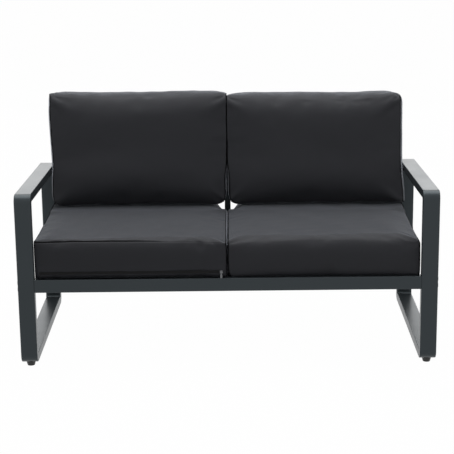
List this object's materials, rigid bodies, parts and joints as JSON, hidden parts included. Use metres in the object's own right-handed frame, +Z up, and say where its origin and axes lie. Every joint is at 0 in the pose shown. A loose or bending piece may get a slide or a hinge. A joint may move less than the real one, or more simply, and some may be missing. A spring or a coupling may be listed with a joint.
{
  "type": "patio loveseat",
  "caption": "Two-seat patio sofa on flat-tube side loops, with a slatted seat and backrest and loose zipped cushions.",
  "frame": {"origin": "centre of the whole object's box, on the floor", "axes": "+Z up, +Y to the back, +X to the right as seen from the front"},
  "size_m": [1.262, 0.6888, 0.7582],
  "materials": {
    "frame": "powder-coated aluminium tube, anthracite, fine satin texture",
    "cushion_fabric": "charcoal woven polyester",
    "filling": "polyurethane foam wrapped in polyester fibre",
    "glide_plastic": "black moulded plastic",
    "zinc_steel": "zinc-plated steel",
    "block_aluminium": "plain extruded aluminium",
    "zip_tape": "nylon coil zip on dark tape",
    "zip_metal": "grey die-cast zinc"
  },
  "bodies": {
    "frame": {"left_front_leg": "frame", "left_arm": "frame", "left_back_leg": "frame", "left_floor_bar": "frame", "right_front_leg": "frame", "right_arm": "frame", "right_back_leg": "frame", "right_floor_bar": "frame", "foot_inserts": "zinc_steel", "front_rail": "frame", "rear_rail": "frame", "rail_end_blocks": "block_aluminium", "side_bearer_left": "frame", "side_bearer_right": "frame", "centre_bearer": "frame", "seat_slat_1": "frame", "seat_slat_2": "frame", "seat_slat_3": "frame", "seat_slat_4": "frame", "seat_slat_5": "frame", "back_stile_left": "frame", "back_stile_right": "frame", "back_stile_centre": "frame", "back_top_rail": "frame", "back_slat_1": "frame", "back_slat_2": "frame", "back_slat_3": "frame", "back_slat_4": "frame", "loop_screws": "zinc_steel", "loop_washers": "zinc_steel", "stile_rivet_nuts": "zinc_steel", "access_plugs": "glide_plastic"},
    "seat_cushion_left": {"seat_cushion_left_cover": "cushion_fabric", "seat_cushion_left_core": "filling", "zip_seat_cushion_left": "zip_tape"},
    "seat_cushion_right": {"seat_cushion_right_cover": "cushion_fabric", "seat_cushion_right_core": "filling", "zip_seat_cushion_right": "zip_tape"},
    "back_cushion_left": {"back_cushion_left_cover": "cushion_fabric", "back_cushion_left_core": "filling", "zip_back_cushion_left": "zip_tape"},
    "back_cushion_right": {"back_cushion_right_cover": "cushion_fabric", "back_cushion_right_core": "filling", "zip_back_cushion_right": "zip_tape"},
    "foot_front_left": {"foot_glide_front_left": "glide_plastic", "foot_stud_front_left": "zinc_steel"},
    "foot_back_left": {"foot_glide_back_left": "glide_plastic", "foot_stud_back_left": "zinc_steel"},
    "foot_front_right": {"foot_glide_front_right": "glide_plastic", "foot_stud_front_right": "zinc_steel"},
    "foot_back_right": {"foot_glide_back_right": "glide_plastic", "foot_stud_back_right": "zinc_steel"},
    "slider_seat_cushion_left": {"zip_slider_seat_cushion_left": "zip_metal"},
    "pull_seat_cushion_left": {"zip_pull_seat_cushion_left": "zip_metal"},
    "slider_seat_cushion_right": {"zip_slider_seat_cushion_right": "zip_metal"},
    "pull_seat_cushion_right": {"zip_pull_seat_cushion_right": "zip_metal"},
    "slider_back_cushion_left": {"zip_slider_back_cushion_left": "zip_metal"},
    "pull_back_cushion_left": {"zip_pull_back_cushion_left": "zip_metal"},
    "slider_back_cushion_right": {"zip_slider_back_cushion_right": "zip_metal"},
    "pull_back_cushion_right": {"zip_pull_back_cushion_right": "zip_metal"}
  },
  "joints": [
    {"name": "seat_cushion_left_lift", "type": "slide", "parent": "frame", "child": "seat_cushion_left", "axis": [0, -0.7071, 0.7071], "range_m": [0, 0.3]},
    {"name": "back_cushion_left_lift", "type": "slide", "parent": "seat_cushion_left", "child": "back_cushion_left", "axis": [0, -0.7071, 0.7071], "range_m": [0, 0.35]},
    {"name": "seat_cushion_right_lift", "type": "slide", "parent": "frame", "child": "seat_cushion_right", "axis": [0, -0.7071, 0.7071], "range_m": [0, 0.3]},
    {"name": "back_cushion_right_lift", "type": "slide", "parent": "seat_cushion_right", "child": "back_cushion_right", "axis": [0, -0.7071, 0.7071], "range_m": [0, 0.35]},
    {"name": "foot_front_left_height", "type": "slide", "parent": "frame", "child": "foot_front_left", "axis": [0, 0, -1], "range_m": [0, 0.01]},
    {"name": "foot_back_left_height", "type": "slide", "parent": "frame", "child": "foot_back_left", "axis": [0, 0, -1], "range_m": [0, 0.01]},
    {"name": "foot_front_right_height", "type": "slide", "parent": "frame", "child": "foot_front_right", "axis": [0, 0, -1], "range_m": [0, 0.01]},
    {"name": "foot_back_right_height", "type": "slide", "parent": "frame", "child": "foot_back_right", "axis": [0, 0, -1], "range_m": [0, 0.01]},
    {"name": "zip_seat_cushion_left_slide", "type": "slide", "parent": "seat_cushion_left", "child": "slider_seat_cushion_left", "axis": [-1, 0, 0], "range_m": [0, 0.541]},
    {"name": "zip_seat_cushion_left_pull_swing", "type": "hinge", "parent": "slider_seat_cushion_left", "child": "pull_seat_cushion_left", "pos_m": [-0.019, -0.34268, 0.2973], "axis": [-1, 0, 0], "range_deg": [0, 150]},
    {"name": "zip_seat_cushion_right_slide", "type": "slide", "parent": "seat_cushion_right", "child": "slider_seat_cushion_right", "axis": [1, 0, 0], "range_m": [0, 0.497]},
    {"name": "zip_seat_cushion_right_pull_swing", "type": "hinge", "parent": "slider_seat_cushion_right", "child": "pull_seat_cushion_right", "pos_m": [0.041, 0.27052, 0.2973], "axis": [1, 0, 0], "range_deg": [0, 150]},
    {"name": "zip_back_cushion_left_slide", "type": "slide", "parent": "back_cushion_left", "child": "slider_back_cushion_left", "axis": [-1, 0, 0], "range_m": [0, 0.469]},
    {"name": "zip_back_cushion_left_pull_swing", "type": "hinge", "parent": "slider_back_cushion_left", "child": "pull_back_cushion_left", "pos_m": [-0.055, 0.29136, 0.4148], "axis": [1, 0, 0], "range_deg": [0, 150]},
    {"name": "zip_back_cushion_right_slide", "type": "slide", "parent": "back_cushion_right", "child": "slider_back_cushion_right", "axis": [1, 0, 0], "range_m": [0, 0.469]},
    {"name": "zip_back_cushion_right_pull_swing", "type": "hinge", "parent": "slider_back_cushion_right", "child": "pull_back_cushion_right", "pos_m": [0.055, 0.29136, 0.4148], "axis": [1, 0, 0], "range_deg": [0, 150]}
  ]
}
